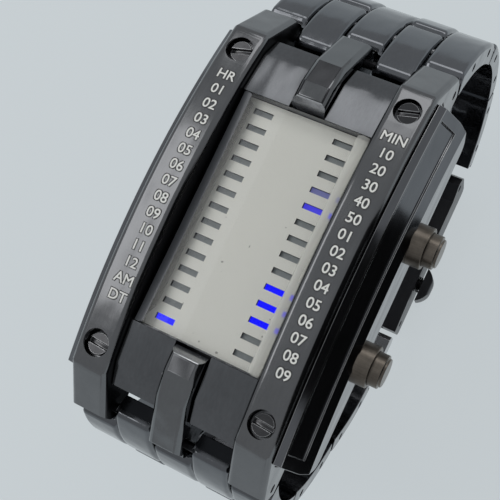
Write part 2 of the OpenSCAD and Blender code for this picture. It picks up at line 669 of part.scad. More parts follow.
module clasp_cover() stand() color([0.22, 0.22, 0.24]) {
    p = upper_pin(7);
    difference() {
        union() {
            for (s = [0, 1]) mirror([s, 0, 0]) across(clasp_hw - wall_t, clasp_hw) clasp_wall_side();
            across(-clasp_hw, clasp_hw) polygon([[clasp_y0 + 0.5, -seat_drop],
                [clasp_y1 - 0.6, -seat_drop], [clasp_y1, -seat_drop + 0.6],
                [clasp_y1, -seat_drop + clasp_t], [clasp_y0, -seat_drop + clasp_t],
                [clasp_y0, -seat_drop + 0.5]]);
            // Middle knuckle between the last two links
            across(-col3_x, col3_x) difference() {
                polygon([[p.x - 1.2, -seat_drop + 0.5], [clasp_y1, -seat_drop + 0.6],
                    [p.x + 1.7, p.y], [p.x + 1.2, p.y + 1.2], [p.x, p.y + 1.6], [p.x - 1.2, p.y + 1.2]]);
                translate(p) circle(r = pin_r);
            }
        }
        for (s = [-1, 1]) translate([0, button_y, button_z]) rod(0.8 + run_c, -20, 20);
    }
}

module cover_pins() stand() color([0.6, 0.6, 0.6]) {
    p = upper_pin(7);
    translate([0, p.x, p.y]) rod(pin_r, -clasp_hw + 0.2, clasp_hw - 0.2);
    translate([0, fold_y, fold_z]) rod(0.5, -clasp_hw + 0.2, clasp_hw - 0.2);
}

// Folding blade, hinged to the cover at one end and to the strap blade at the other
module fold_blade() stand() color([0.5, 0.5, 0.52]) difference() {
    union() {
        translate([0, fold_y, fold_z]) rod(knuckle_r, -blade_w / 2, blade_w / 2);
        translate([-blade_w / 2, fold_y, blade1_z]) cube([blade_w, blade_y - fold_y, blade_t]);
        translate([0, blade_y, blade_z]) {
            rod(knuckle_r, -blade_w / 2, -blade_w / 4 - 0.1);
            rod(knuckle_r, blade_w / 4 + 0.1, blade_w / 2);
        }
    }
    translate([0, fold_y, fold_z]) rod(0.5 + run_c, -20, 20);
    // Flat under the strap blade's neck
    translate([-col3_x, fold_y - 2, blade2_z - 0.15]) cube([2 * col3_x, 4, 2]);
    translate([0, blade_y, blade_z]) rod(0.5, -20, 20);
    translate([-blade_w / 4 - 0.1, blade_y - knuckle_r - 0.25, blade1_z - 1])
        cube([blade_w / 2 + 0.2, 4, 5]);
}

module blade_pin() stand() color([0.6, 0.6, 0.6]) translate([0, blade_y, blade_z])
    rod(0.5, -blade_w / 2 + 0.1, blade_w / 2 - 0.1);

// Side view of the strap blade's end bar, whose lugs stand beside the last link
module end_bar_side(lug) {
    p = lower_pin(7);
    polygon([[lug ? p.x - 2.2 : clasp_y0 - 4.3, p.y + (lug ? 0.4 : 0.6)],
        [lug ? p.x - 2.2 : clasp_y0 - 4.3, p.y - (lug ? 0.7 : 1)],
        [lug ? p.x - 1.4 : clasp_y0 - 3.8, p.y - 1.5], [clasp_y0 - 1.7, p.y - 1.8],
        [clasp_y0 - 1, p.y - 1.2], [clasp_y0 - 1, p.y + 0.3], [clasp_y0 - 1.6, p.y + 0.9],
        [lug ? p.x : clasp_y0 - 3.8, p.y + 1.1]]);
}

// Strap blade, folded back over the folding blade, with an end bar and eyes for the last link
module strap_blade() stand() color([0.5, 0.5, 0.52]) {
    p = lower_pin(7);
    neck = col3_x - 0.15;
    difference() {
        union() {
            translate([0, blade_y, blade_z]) rod(knuckle_r, -blade_w / 4 + 0.1, blade_w / 4 - 0.1);
            translate([-blade_w / 4 + 0.1, blade_y - 3, blade2_z]) cube([blade_w / 2 - 0.2, 3, blade_t]);
            translate([-blade_w / 2, clasp_y0 + 4, blade2_z])
                cube([blade_w, blade_y - knuckle_r - 0.25 - clasp_y0 - 4, blade_t]);
            across(-neck, neck) union() {
                polygon([[p.x, p.y - 0.9], [p.x, p.y + 0.9], [clasp_y0 + 1, blade2_z + blade_t],
                    [clasp_y0 + 5, blade2_z + blade_t], [clasp_y0 + 5, blade2_z], [clasp_y0 - 1, blade2_z]]);
                translate(p) circle(r = 1.35);
            }
            across(-clasp_hw, clasp_hw) end_bar_side(false);
            for (s = [0, 1]) mirror([s, 0, 0]) across(col1_in, clasp_hw) end_bar_side(true);
        }
        translate([0, p.x, p.y]) rod(0.65, -20, 20);
        translate([0, blade_y, blade_z]) rod(0.5 + run_c, -20, 20);
    }
}

// Spring bar in the strap blade's eye, drawn with its tips pushed in
module spring_bar() stand() color([0.7, 0.7, 0.72]) {
    p = lower_pin(7);
    neck = col3_x - 0.15;
    translate([0, p.x, p.y]) {
        rod(0.65, -neck + 0.3, neck - 0.3);
        rod(0.35, -neck, neck);
    }
}

// Clasp button: a rounded knob on a stem through the cover's wall
module clasp_button() difference() {
    union() {
        translate([clasp_hw + button_travel + 0.1, 0, 0]) intersection() {
            translate([0, -button_l / 2, -button_h / 2])
                cube([button_out - button_travel - 0.1, button_l, button_h]);
            translate([button_out - button_travel - 3.1, 0, -button_h]) cylinder(r = 3, h = 2 * button_h);
            translate([button_out - button_travel - 3.1, -button_l, 0]) rotate([-90, 0, 0])
                cylinder(r = 3, h = 2 * button_l);
        }
        rod(0.8, clasp_hw - wall_t - 0.45, clasp_hw + button_travel + 0.2);
        rod(1.15, clasp_hw - wall_t - 0.45, clasp_hw - wall_t - 0.05);
    }
}

module button_coil() coil(1.15, 0.1, clasp_hw + 0.11, clasp_hw + button_travel - 0.01, 2);

module clasp_button_right() stand() color([0.2, 0.2, 0.21]) translate([0, button_y, button_z]) clasp_button();
module clasp_button_left() stand() color([0.2, 0.2, 0.21]) translate([0, button_y, button_z])
    mirror([1, 0, 0]) clasp_button();
module button_spring_right() stand() color([0.7, 0.7, 0.72]) translate([0, button_y, button_z]) button_coil();
module button_spring_left() stand() color([0.7, 0.7, 0.72]) translate([0, button_y, button_z])
    mirror([1, 0, 0]) button_coil();

case_block();
rail_left();
rail_right();
rail_screws();
side_cover_left();
side_cover_right();
centre_bar_top();
centre_bar_bottom();
glass();
glass_gasket();
window_mask();
light_emitters();
circuit_board();
board_parts();
module_frame();
coin_cell();
cell_contact();
case_back();
back_gasket();
back_screws();
pusher_tubes();
pusher_seals();
switch_blades();
lug_pins();
pusher_upper();
pusher_lower();
pusher_clip_upper();
pusher_clip_lower();
pusher_spring_upper();
pusher_spring_lower();
upper_row_1();
upper_row_2();
upper_row_3();
upper_row_4();
upper_row_5();
upper_row_6();
upper_row_7();
lower_row_1();
lower_row_2();
lower_row_3();
lower_row_4();
lower_row_5();
lower_row_6();
lower_row_7();
upper_pins_2();
upper_pins_4();
upper_pins_6();
lower_pins_2();
lower_pins_4();
lower_pins_6();
clasp_cover();
cover_pins();
fold_blade();
blade_pin();
strap_blade();
spring_bar();
clasp_button_left();
clasp_button_right();
button_spring_left();
button_spring_right();
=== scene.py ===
# %% [markdown]
# This lesson dresses a steel wristwatch that shows the time with two rows of light bars. The
# imported model comes in first. Its solids already stand in the right place, in metres, with the
# clasp's flat underside on the floor, twelve o'clock towards +Y and the push buttons towards +X.
# Everything could be drawn again here, but then two models would have to be kept alike, so
# nearly every finished piece starts from its solid.

# %% Load the imported model
import json
from math import radians, sqrt

import bmesh
import bpy
from mathutils import Matrix, Vector


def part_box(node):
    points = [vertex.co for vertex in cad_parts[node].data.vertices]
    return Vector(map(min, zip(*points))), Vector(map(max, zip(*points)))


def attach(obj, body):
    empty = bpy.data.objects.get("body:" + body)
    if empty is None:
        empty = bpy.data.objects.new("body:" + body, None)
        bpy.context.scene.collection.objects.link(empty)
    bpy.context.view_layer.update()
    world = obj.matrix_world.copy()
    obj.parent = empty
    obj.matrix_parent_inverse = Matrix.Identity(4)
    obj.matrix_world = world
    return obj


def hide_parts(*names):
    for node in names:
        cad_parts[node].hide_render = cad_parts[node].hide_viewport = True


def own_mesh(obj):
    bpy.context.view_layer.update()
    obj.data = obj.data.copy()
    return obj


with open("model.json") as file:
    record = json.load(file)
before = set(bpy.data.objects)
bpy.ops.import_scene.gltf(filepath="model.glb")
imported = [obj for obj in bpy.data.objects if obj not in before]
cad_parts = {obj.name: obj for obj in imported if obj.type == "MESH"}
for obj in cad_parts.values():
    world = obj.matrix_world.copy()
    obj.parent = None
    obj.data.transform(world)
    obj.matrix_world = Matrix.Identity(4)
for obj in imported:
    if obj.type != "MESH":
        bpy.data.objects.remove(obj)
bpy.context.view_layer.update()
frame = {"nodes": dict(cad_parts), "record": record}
behaviour = frame["record"]["behaviour"]
MM = 0.001
glass_low, glass_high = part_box("glass")
GLASS_CENTRE = Vector((0, (glass_low.y + glass_high.y) / 2, glass_high.z))

# %% [markdown]
# The camera looks at the glass from above and a little to the right, close and with a long lens.
# It could be set by eye. Here its place and its two direction rows were worked out from the even
# spacing of the light bars, the glass corners and the screws, so that the render can be laid over
# the photograph.

# %% Camera
CAMERA_PLACE = GLASS_CENTRE + Vector((34.226, -12.775, 104.379)) * MM
IMAGE_RIGHT = Vector((0.87305, 0.42798, -0.23371))
IMAGE_DOWN = Vector((0.38356, -0.89866, -0.21282))
LOOK = IMAGE_RIGHT.cross(IMAGE_DOWN)
camera_data = bpy.data.cameras.new("camera")
camera_data.sensor_width = 36
camera_data.lens = 72
camera_data.clip_start = 0.005
camera = bpy.data.objects.new("camera", camera_data)
turn = Matrix((IMAGE_RIGHT, -IMAGE_DOWN, -LOOK)).transposed().to_4x4()
camera.matrix_world = Matrix.Translation(CAMERA_PLACE) @ turn
bpy.context.scene.collection.objects.link(camera)
bpy.context.scene.camera = camera
bpy.context.scene.view_settings.view_transform = "Standard"
print("camera stands", round((CAMERA_PLACE - GLASS_CENTRE).length / MM), "mm from the glass")

# %% [markdown]
# Shader maths is easier to read as plain expressions than as a list of nodes and links. A small
# class wraps one output socket, and each operator on it adds one Math node, also the other way
# round, so that a number can stand first.

# %% A socket that can be added, subtracted and multiplied
class Wire:
    """One output socket of a finish, ready for arithmetic."""

    def __init__(self, finish, socket):
        self.finish = finish
        self.socket = socket

    def math(self, operation, first, second):
        return self.finish.add("Math", {"operation": operation}, {0: first, 1: second})

    def __add__(self, other):
        return self.math("ADD", self, other)

    def __sub__(self, other):
        return self.math("SUBTRACT", self, other)

    def __rsub__(self, other):
        return self.math("SUBTRACT", other, self)

    def __mul__(self, other):
        return self.math("MULTIPLY", self, other)

    __radd__ = __add__
    __rmul__ = __mul__

    def above(self, level):
        return self.math("GREATER_THAN", self, level)


print("a wire knows: + - * and above")

# %% [markdown]
# A finish is a material that grows its own node tree. It could be put together by hand in the
# shader editor, but in code one recipe serves for many steels. Every node but the output comes
# from one method, which sets the node's choices first and then its sockets. Patterns are read at
# the place on the object, in metres, so they need no unwrapping and keep their real size.

# %% A finish and its nodes
class Finish:
    """A material and its nodes."""

    def __init__(self, name):
        self.material = bpy.data.materials.new(name)
        self.material.use_nodes = True
        self.tree = self.material.node_tree
        self.tree.nodes.clear()

    def add(self, kind, choices=None, sockets=None, out=0):
        node = self.tree.nodes.new("ShaderNode" + kind)
        for key, value in (choices or {}).items():
            setattr(node, key, value)
        for key, value in (sockets or {}).items():
            if isinstance(value, Wire):
                self.tree.links.new(value.socket, node.inputs[key])
            else:
                node.inputs[key].default_value = value
        return Wire(self, node.outputs[out])

    def place(self, scale=(1, 1, 1)):
        """Where a point is on the object, stretched by scale."""
        spot = self.add("TexCoord", out="Object")
        return self.add("Mapping", None, {"Vector": spot, "Scale": scale})

    def noise(self, scale, stretch=(1, 1, 1), detail=3.0, rough=0.5):
        spot = self.place(stretch)
        sockets = {"Vector": spot, "Scale": scale, "Detail": detail, "Roughness": rough}
        return self.add("TexNoise", None, sockets, out="Fac")

    def blend(self, factor, first, second):
        """A colour between two colours."""
        colours = {6: first, 7: second}
        sockets = {key: c if isinstance(c, Wire) else (*c, 1) for key, c in colours.items()}
        return self.add("Mix", {"data_type": "RGBA"}, {"Factor": factor, **sockets}, out=2)

    def done(self, surface):
        output = self.tree.nodes.new("ShaderNodeOutputMaterial")
        self.tree.links.new(surface.socket, output.inputs["Surface"])
        return self.material


print("materials so far:", len(bpy.data.materials))

# %% [markdown]
# Nearly all of this watch is steel with a dark plating. One even grey would look like plastic,
# because real plating has a faint run of polishing lines, small clouds where it was handled, and
# is never quite flat. The lines go into roughness and a very low bump, and a second bump makes
# the slow waves that a hand-held polishing wheel leaves, so that reflections wander a little.

# %% Dark plated steel
WAVE_HEIGHT = 0.12 * MM
SCRATCH_HEIGHT = 0.02 * MM


def plated_steel(name, colour, rough, lines=0.10, run=(1, 0.04, 1), cloud=0.25, patch=150):
    """Lines is the roughness in the polish, run its direction, cloud and patch its darker spots."""
    f = Finish(name)
    polish = f.noise(4200, run, 4.0, 0.65)
    patches = f.noise(patch, (1, 0.5, 1), 4.0, 0.6)
    dust = f.noise(5200, (1, 1, 1), 1.0, 0.4)
    darker = tuple(c * (1 - cloud) for c in colour)
    lighter = tuple(min(1, c * (1 + cloud)) for c in colour)
    tint = f.blend(patches * 0.6 + polish * 0.4, darker, lighter)
    roughness = (polish - 0.5) * lines + (patches - 0.5) * 0.08 + rough
    wave = f.noise(320, (1, 0.5, 1), 1.0, 0.5)
    soft = f.add("Bump", None, {"Strength": 1.0, "Distance": WAVE_HEIGHT, "Height": wave})
    scratches = {"Strength": 0.05, "Distance": SCRATCH_HEIGHT, "Height": polish + dust * 0.3}
    fine = f.add("Bump", None, {**scratches, "Normal": soft})
    sockets = {"Base Color": tint, "Metallic": 1.0, "Roughness": roughness, "Normal": fine}
    return f.done(f.add("BsdfPrincipled", None, sockets))


BAR_STEEL = plated_steel("bar steel", (0.17, 0.172, 0.178), 0.17)
CASE_STEEL = plated_steel("case steel", (0.14, 0.144, 0.152), 0.15, lines=0.14, cloud=0.5)
COVER_STEEL = plated_steel("cover steel", (0.16, 0.164, 0.175), 0.13, lines=0.05)
STRIP_STEEL = plated_steel("centre bar steel", (0.17, 0.174, 0.18), 0.13)
# A bright copy of the plating is a painted highlight on the centre bars' slanted fronts, and the
# two darker copies below it are painted shade behind them.
FRONT_HIGHLIGHT_STEEL = plated_steel("painted highlight on the end", (0.56, 0.565, 0.575), 0.25)
CREST_SHADE_STEEL = plated_steel("painted shade on the lower centre bar's crest", (0.10, 0.102, 0.107), 0.2)
SHADE_STEEL = plated_steel("painted shade on the upper centre bar's bend", (0.045, 0.046, 0.049), 0.2)
LINK_STEEL = plated_steel("link steel", (0.17, 0.176, 0.188), 0.13)
# A darker copy of the link steel, painted as the case's shade on the links below it.
SHADED_LOWER_LINK_STEEL = plated_steel("lower links with painted shade", (0.135, 0.14, 0.15), 0.13)
CLASP_STEEL = plated_steel("clasp steel", (0.07, 0.07, 0.075), 0.32)
SCREW_STEEL = plated_steel("screw steel", (0.07, 0.07, 0.073), 0.22, run=(1, 1, 1))
print("plated finishes:", len(bpy.data.materials))

# %% [markdown]
# Where the plating is rubbed the bare steel comes through, and that brighter steel is also a
# painted highlight along the edges. Deep in the gaps a nearly black steel is painted shade. The
# back, the clasp's blades and most pins and springs are bare steel, and the push buttons have a
# brown-grey plating that is worn in small spots. Each could have nodes of its own, but all are the
# same kind of metal, so they share one function and differ in its numbers.

# %% Worn edges with a painted highlight, painted shade, bare and brown steel
# Brighter steel on the rounded edges: rubbed plating, and a painted highlight as well.
WORN_EDGE_HIGHLIGHT_STEEL = plated_steel("rubbed edges with painted highlight", (0.38, 0.38, 0.385), 0.20)
# Nearly black steel: painted shade for the gaps, the clasp's springs and the lug pins.
PAINTED_SHADE_STEEL = plated_steel("painted shade in the gaps", (0.022, 0.022, 0.024), 0.35)
BACK_STEEL = plated_steel("back steel", (0.42, 0.42, 0.43), 0.34, lines=0.2)
BRIGHT_STEEL = plated_steel("bright steel", (0.62, 0.62, 0.63), 0.22)
BLADE_STEEL = plated_steel("blade steel", (0.55, 0.55, 0.56), 0.25)
BUTTON_FACE = plated_steel("button end steel", (0.42, 0.40, 0.38), 0.40, run=(1, 1, 1))
BUTTON_RUN = {"run": (0.05, 1, 1), "cloud": 0.9, "patch": 700}
BUTTON_STEEL = plated_steel("button steel", (0.15, 0.13, 0.11), 0.34, **BUTTON_RUN)
print("steel finishes:", len(bpy.data.materials))

# %% [markdown]
# Inside the case are plastics, rubber, brass and a battery. They hardly show, and a flat colour
# would do for the picture, but they are part of the object and can be looked at by themselves,
# so each gets a finish with its own grain.

# %% Plain materials for the inner pieces
GRAIN_HEIGHT = 0.03 * MM


def plain(name, low, high, rough, grain=900.0, metallic=0.0):
    f = Finish(name)
    speckle = f.noise(grain, (1, 1, 1), 3.0, 0.5)
    bump = f.add("Bump", None, {"Strength": 0.1, "Distance": GRAIN_HEIGHT, "Height": speckle})
    sockets = {
        "Base Color": f.blend(speckle, low, high), "Metallic": metallic,
        "Roughness": speckle * 0.15 + (rough - 0.07), "Normal": bump,
    }
    return f.done(f.add("BsdfPrincipled", None, sockets))


RUBBER = plain("black rubber", (0.012, 0.012, 0.012), (0.03, 0.03, 0.03), 0.7, 3000)
BOARD = plain("board lacquer", (0.01, 0.06, 0.03), (0.02, 0.11, 0.05), 0.35, 700)
NYLON = plain("nylon", (0.62, 0.62, 0.58), (0.72, 0.72, 0.69), 0.5, 1200)
BRASS = plain("brass", (0.70, 0.50, 0.22), (0.80, 0.62, 0.32), 0.25, 2500, 1.0)
print("inner finishes:", RUBBER.name, BOARD.name, NYLON.name, BRASS.name)

# %% [markdown]
# Behind the glass lies a cream printed sheet with a window for each light bar. It is smooth,
# very slightly pearly, and carries a few specks of dust. The specks could be small pieces of
# their own. The highest tips of a fine noise are enough, and they stay the same in every run.

# %% Dial print
SPECK_LEVEL = 0.85


def dial_print():
    f = Finish("dial print")
    pearl = f.noise(90, (1, 0.5, 1), 3.0, 0.5)
    grain = f.noise(4500, (1, 1, 1), 2.0, 0.5)
    specks = f.noise(1900, (1, 1, 1), 0.0, 0.5)
    base = f.blend(pearl * 0.6 + grain * 0.4, (0.78, 0.77, 0.70), (0.85, 0.84, 0.77))
    tint = f.blend(specks.above(SPECK_LEVEL), base, (0.4, 0.39, 0.35))
    sockets = {"Base Color": tint, "Roughness": grain * 0.1 + 0.3, "Metallic": 0.1}
    return f.done(f.add("BsdfPrincipled", None, sockets))


DIAL = dial_print()
# Nearly black: painted shade for the walls of the print's windows.
WINDOW_WALL_SHADE = plain("painted shade on the window walls", (0.012, 0.012, 0.013), (0.03, 0.03, 0.031), 0.6)
print("print finishes:", DIAL.name, WINDOW_WALL_SHADE.name)

# %% [markdown]
# The glass has a flat top and long bevels. A path tracer finds the print under real refracting
# glass only by slow and noisy paths, so the top is a clear sheet with a gloss that grows towards
# grazing angles. The bevels bend the view sideways: the right one gathers the cream of the
# print, and the left one the dark of the gap, so those colours are painted on them.

# %% Glass
CLEAR = (0.98, 0.98, 0.98, 1)


def glass_top():
    f = Finish("glass top")
    smear = f.noise(120, (1, 0.4, 1), 3.0, 0.6)
    grazing = f.add("Fresnel", None, {"IOR": 1.15})
    gloss = f.add("BsdfGlossy", None, {"Color": (0.95, 0.96, 1.0, 1), "Roughness": 0.02})
    clear = f.add("BsdfTransparent", None, {"Color": CLEAR})
    factor = f.add("Math", {"operation": "ADD", "use_clamp": True}, {0: grazing, 1: smear * 0.02})
    return f.done(f.add("MixShader", None, {"Fac": factor, 1: clear, 2: gloss}))


def painted_bright_bevel():
    """A bevel with the print's cream painted in: mostly clear, partly cream."""
    f = Finish("painted cream of the print")
    streaks = f.noise(700, (1, 0.15, 1), 2.0, 0.5)
    cream = f.add("BsdfPrincipled", None, {"Base Color": (0.86, 0.85, 0.79, 1), "Roughness": 0.25})
    clear = f.add("BsdfTransparent", None, {"Color": CLEAR})
    return f.done(f.add("MixShader", None, {"Fac": streaks * 0.5 + 0.15, 1: clear, 2: cream}))


# Dark grey: the left bevel and the upright edges are painted with the gap's shade.
PAINTED_DARK_BEVEL = plain("painted dark of the gap", (0.10, 0.105, 0.115), (0.13, 0.135, 0.145), 0.30, 600)
GLASSES = [glass_top(), painted_bright_bevel(), PAINTED_DARK_BEVEL]
print("glass finishes:", [glass.name for glass in GLASSES])

# %% [markdown]
# Every piece that this lesson makes ends in the same way: its mesh gets smooth shading with
# sharp creases kept, it rides on a body of the watch, and it stands for its solid where it has
# one. The object could be moved to where it belongs, but then a pattern that is read at the
# place on the object would move too. So it stays at the origin with its place in its mesh.

# %% From a mesh to a piece of the watch
SMOOTH_BELOW = radians(38)
body_of_node = {n: body for body, names in behaviour["bodies"].items() for n in names}


def finish_object(name, bm, body, node_names, materials):
    """Turn a bmesh into a piece that rides on a body and stands for its solids."""
    mesh = bpy.data.meshes.new(name)
    bm.to_mesh(mesh)
    bm.free()
    for face in mesh.polygons:
        face.use_smooth = True
    mesh.set_sharp_from_angle(angle=SMOOTH_BELOW)
    for material in materials:
        mesh.materials.append(material)
    piece = bpy.data.objects.new(name, mesh)
    bpy.context.scene.collection.objects.link(piece)
    weighted = piece.modifiers.new("even shading", "WEIGHTED_NORMAL")
    weighted.keep_sharp = True
    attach(piece, body)
    if node_names:
        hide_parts(*node_names)
    print(name, "has", len(mesh.polygons), "faces and rides on", body)
    return piece


def finish_node(name, bm, node, materials):
    """The same for a piece that stands for one solid."""
    return finish_object(name, bm, body_of_node[node], [node], materials)


# %% [markdown]
# Sharp corners never look real on polished metal, because a real edge is always a little round
# and catches a line of light. A Bevel modifier could round them, but an operator gives back the
# new narrow faces, so they can be given the rubbed steel, which also paints a highlight on them.
# Each solid is copied, its loose triangles are merged back into whole faces, and every sharp edge
# is bevelled.

# %% Copy a solid with rounded edges
SAME_PLACE = 0.002 * MM
SAME_PLANE = radians(0.6)


def merged_copy(node, whole_faces=True):
    bm = bmesh.new()
    bm.from_mesh(frame["nodes"][node].data)
    bmesh.ops.remove_doubles(bm, verts=bm.verts, dist=SAME_PLACE)
    if whole_faces:
        bmesh.ops.dissolve_limit(bm, angle_limit=SAME_PLANE, verts=bm.verts, edges=bm.edges)
    return bm


def sharp_edges(bm, limit):
    return [e for e in bm.edges if e.is_manifold and e.calc_face_angle(0) > radians(limit)]


def round_edges(bm, width, segments=3, limit=28, worn_highlight=None, clamp=True):
    """Round the sharp edges, and give the new narrow faces the rubbed steel with its painted
    highlight where there is one.
    """
    made = bmesh.ops.bevel(
        bm, geom=sharp_edges(bm, limit), offset=width, offset_type="OFFSET", affect="EDGES",
        segments=segments, profile=0.5, material=-1, clamp_overlap=clamp,
    )
    if worn_highlight is not None:
        for face in made["faces"]:
            face.material_index = worn_highlight


def soften(node, name, material, width, others=(), where=None, worn_highlight=None, clamp=True):
    """Copy a solid, give the faces that where() numbers the other materials, and round it."""
    bm = merged_copy(node)
    if where:
        bm.normal_update()
        for face in bm.faces:
            face.material_index = int(where(face.calc_center_median() - GLASS_CENTRE, face.normal))
    materials = [material, *others] + ([worn_highlight] if worn_highlight else [])
    round_edges(bm, width, worn_highlight=len(materials) - 1 if worn_highlight else None, clamp=clamp)
    return finish_node(name, bm, node, materials)


print("points closer than", round(SAME_PLACE / MM, 3), "mm are merged in a copy")

# %% [markdown]
# The case is a block between two long side bars, with a short bar in the middle of each end and
# a cover on each side. They are cast or milled, polished on a wheel and then plated. The faces in
# the gaps get a nearly black steel as painted shade, the centre bars' slanted fronts a bright
# steel as a painted highlight, and the faces just behind those fronts darker steels as painted
# shade. A painted mask could say so. Here each face is asked where it is and which way it looks,
# because the parts have whole faces there.

# %% Faces with painted shade or a painted highlight
GAP_HALF_WIDTH = 8.4 * MM
CHANNEL_FLOOR = -3.9 * MM
FRONT_TO = 15.9 * MM
CREST_TO = 17.5 * MM
BEND_TO = 21.5 * MM


def in_a_gap(place, normal):
    """Upright walls between the bars, and the floor of the centre bars' channels."""
    on_floor = place.z < CHANNEL_FLOOR and normal.z > 0.5
    return abs(place.x) < GAP_HALF_WIDTH and (abs(normal.x) > 0.8 or on_floor)


def bar_end(place, normal):
    """1 on the slanted front of a centre bar, 2 on the crest behind it, 3 where it bends down."""
    if abs(place.y) < FRONT_TO and normal.z > 0.2:
        return 1
    if abs(place.y) < CREST_TO and normal.z > 0.95:
        return 2
    return 3 if abs(place.y) < BEND_TO and normal.z > 0.9 else 0


print("gap faces lie within", round(GAP_HALF_WIDTH / MM, 1), "mm of the middle")

# %% [markdown]
# The block, the side bars and the centre bars now get their finishes and their edges. How wide
# an edge is decides how bright a line it catches. One width for all would look cast, so the long
# bars, which the wheel reaches best, are rounded most, and the short ones least.

# %% Case pieces
# The faces in the gaps get the nearly black steel as painted shade.
GAPS = {"others": [PAINTED_SHADE_STEEL], "where": in_a_gap}
soften("case_block", "case_middle", CASE_STEEL, 0.12 * MM, **GAPS)
soften("rail_left", "side_bar_left", BAR_STEEL, 0.15 * MM, **GAPS)
soften("rail_right", "side_bar_right", BAR_STEEL, 0.15 * MM, **GAPS)
# The fronts get the painted highlight, and the crest and the bend the painted shade.
upper_end = {"others": [FRONT_HIGHLIGHT_STEEL, STRIP_STEEL, SHADE_STEEL], "where": bar_end}
lower_end = {"others": [FRONT_HIGHLIGHT_STEEL, CREST_SHADE_STEEL, STRIP_STEEL], "where": bar_end}
soften("centre_bar_top", "end_bar_top", STRIP_STEEL, 0.10 * MM, **upper_end)
soften("centre_bar_bottom", "end_bar_bottom", STRIP_STEEL, 0.10 * MM, **lower_end)

# %% [markdown]
# The side covers are black plates with a raised frame, and slotted screws hold the side bars
# down. Both are handled often, so the plating is rubbed at their edges, and the brighter steel
# there also stands as a painted highlight in thin bright lines. A mask could be painted for them,
# but the narrow faces of the rounding lie just there. Their edges run close together, so the
# bevel isn't held back where it would meet another.

# %% Covers, back and screws
# Rounded edges with rubbed plating and a painted highlight.
RUBBED_AND_HIGHLIT = {"worn_highlight": WORN_EDGE_HIGHLIGHT_STEEL, "clamp": False}
soften("side_cover_left", "cover_left", COVER_STEEL, 0.06 * MM, **RUBBED_AND_HIGHLIT)
soften("side_cover_right", "cover_right", COVER_STEEL, 0.06 * MM, **RUBBED_AND_HIGHLIT)
soften("case_back", "back_plate", BACK_STEEL, 0.12 * MM)
soften("rail_screws", "bar_screws", SCREW_STEEL, 0.10 * MM, **RUBBED_AND_HIGHLIT)
soften("back_screws", "back_plate_screws", BRIGHT_STEEL, 0.05 * MM)

# %% [markdown]
# The bracelet has rows of two and three domed links side by side, and each row turns on pins.
# The places of the pins are the joints' places, so a row's direction and its outer side are
# found from its own two pins, and no list of angles has to be kept here.

# %% Where a row of links lies
ROWS = 7
RING_CENTRE = Vector((0, 0, 26)) * MM
joint_place = {j["name"]: Vector(j["pos_m"]) for j in behaviour["joints"] if "pos_m" in j}
spring_bar_low, spring_bar_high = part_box("spring_bar")


def pins_of_row(side, k):
    """The two pins that a row turns on."""
    first = joint_place[f"{side}_bend_{k}"]
    if k < ROWS:
        return first, joint_place[f"{side}_bend_{k + 1}"]
    if side == "upper":
        return first, joint_place["clasp_swing"]
    return first, (spring_bar_low + spring_bar_high) / 2


def directions_of_row(first, second):
    """Along the row, and out of the ring."""
    along = (second - first).normalized()
    out = Vector((1, 0, 0)).cross(along)
    if out.dot((first + second) / 2 - RING_CENTRE) < 0:
        out = -out
    return along, out


print("pins with a place:", len(joint_place))

# %% [markdown]
# Every link is softly pillowed: its domed face falls away near all four edges. A subdivision
# surface would round it too, but it would also pull in the ends that hold the pins. So a few
# cuts are made near the edges of the domed face first, and they give the fall its steps.

# %% Cuts near the links' edges
COLUMNS = ((-2.55, 2.55), (2.8, 7.65), (7.9, 12.9))
CUTS = (0.13, 0.28, 0.48, 0.7)
CUT_SNAP = 0.001 * MM


def cut_across(bm, place, normal):
    geometry = bm.verts[:] + bm.edges[:] + bm.faces[:]
    bmesh.ops.bisect_plane(bm, geom=geometry, plane_co=place, plane_no=normal, dist=CUT_SNAP)


def cut_near_edges(bm, first, along, low, high):
    for cut in CUTS:
        for place in (low + cut * MM, high - cut * MM):
            cut_across(bm, first + along * place, along)
        for inner, outer in COLUMNS:
            for x in (inner + cut, outer - cut):
                for sign in (-1, 1):
                    cut_across(bm, Vector((sign * x * MM, 0, 0)), Vector((1, 0, 0)))


print("cuts near each edge:", len(CUTS))

# %% [markdown]
# The points of the domed face are then let down along a quarter circle, by how near they are to
# the link's long and short edges. Points on the sides and the underside keep their place, and
# are told from the others by their distance from the dome's centre.

# %% Let the domed faces down towards their edges
DOME_R = 20 * MM
DOME_TOP = 1.7 * MM
ON_DOME = 0.04 * MM
SIDE_PILLOW = 0.5 * MM
END_PILLOW = 0.7 * MM
CORNER_SLOPE = 1.5
BESIDE = 0.05


def fall(from_side, from_end):
    """How far a point goes down, from its distance to the side and to the end of its link."""
    side_share = max(0, 1 - from_side / SIDE_PILLOW)
    end_share = max(0, 1 - from_end / END_PILLOW)
    # Each share runs from 0 on the open face to 1 at the very edge, and a corner can pass 1
    share = sqrt(side_share * side_share + end_share * end_share)
    depth = SIDE_PILLOW if side_share > end_share else END_PILLOW
    inside = min(share, 1)
    return depth * (1 - sqrt(1 - inside * inside) + (share - inside) * CORNER_SLOPE)


def pillow(bm, first, along, out, low, high):
    """Let the domed face of every link in a row down towards its four edges."""
    dome = first + along * (low + high) / 2 + out * (DOME_TOP - DOME_R)
    for v in bm.verts:
        arm = v.co - dome
        radius = (arm - Vector((arm.x, 0, 0))).length
        if abs(radius - DOME_R) > ON_DOME or arm.dot(out) < 0:
            continue
        across = abs(v.co.x) / MM
        spans = [(across - a, b - across) for a, b in COLUMNS if a - BESIDE < across < b + BESIDE]
        if not spans:
            continue
        from_side = max(0.0, min(spans[0])) * MM
        spot = (v.co - first).dot(along)
        from_end = max(0.0, min(spot - low, high - spot))
        v.co -= out * fall(from_side, from_end)


print("a link's edge falls", round(fall(0, 1) / MM, 2), "mm at its side")

